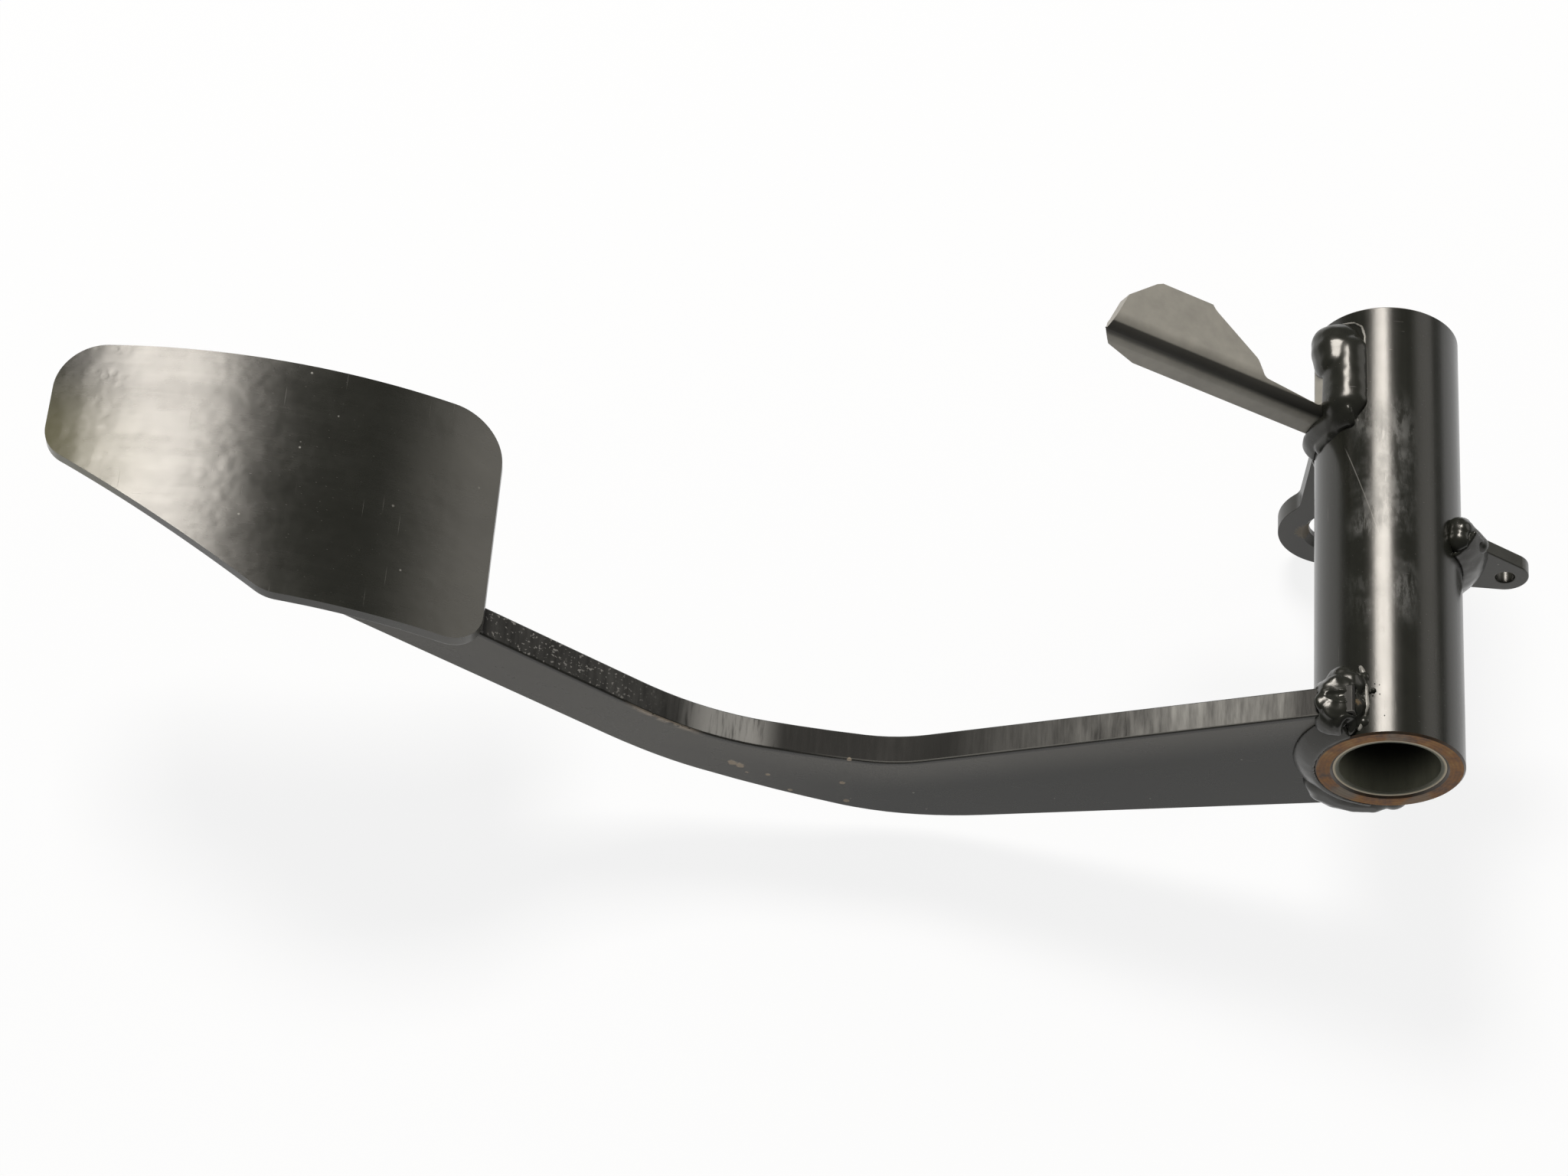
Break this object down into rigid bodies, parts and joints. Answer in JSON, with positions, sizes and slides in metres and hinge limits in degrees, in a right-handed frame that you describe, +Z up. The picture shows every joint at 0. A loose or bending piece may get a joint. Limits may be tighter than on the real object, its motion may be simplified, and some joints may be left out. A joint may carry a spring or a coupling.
{
  "type": "brake pedal",
  "caption": "Welded steel brake pedal: a bushed pivot tube with a dog-leg arm, a curved foot pad, a folded latch bracket, a push-rod lever and a spring tab.",
  "frame": {"origin": "on the pivot axis, at the middle of the pivot tube's length", "axes": "+Y along the pivot axis towards the tube end with the bracket and the rod lever, +X from the foot pad towards the tube, +Z up, away from the rod lever"},
  "size_m": [0.4482, 0.152, 0.1242],
  "materials": {
    "black_paint": "satin",
    "painted_weld": "semi-gloss",
    "bush_steel": "satin"
  },
  "bodies": {
    "root": {"pivot_tube": "black_paint", "pedal_arm": "black_paint", "foot_pad": "black_paint", "latch_bracket": "black_paint", "rod_lever": "black_paint", "spring_tab": "black_paint", "near_bush": "bush_steel", "far_bush": "bush_steel", "arm_weld_near": "painted_weld", "arm_weld_far": "painted_weld", "arm_weld_front": "painted_weld", "arm_weld_back": "painted_weld", "bracket_weld_long": "painted_weld", "bracket_weld_root": "painted_weld", "bracket_weld_back": "painted_weld", "lever_weld_near": "painted_weld", "lever_weld_far": "painted_weld", "tab_weld_near": "painted_weld", "tab_weld_far": "painted_weld", "tab_weld_front": "painted_weld", "pad_weld_near": "painted_weld", "pad_weld_far": "painted_weld"}
  },
  "joints": []
}
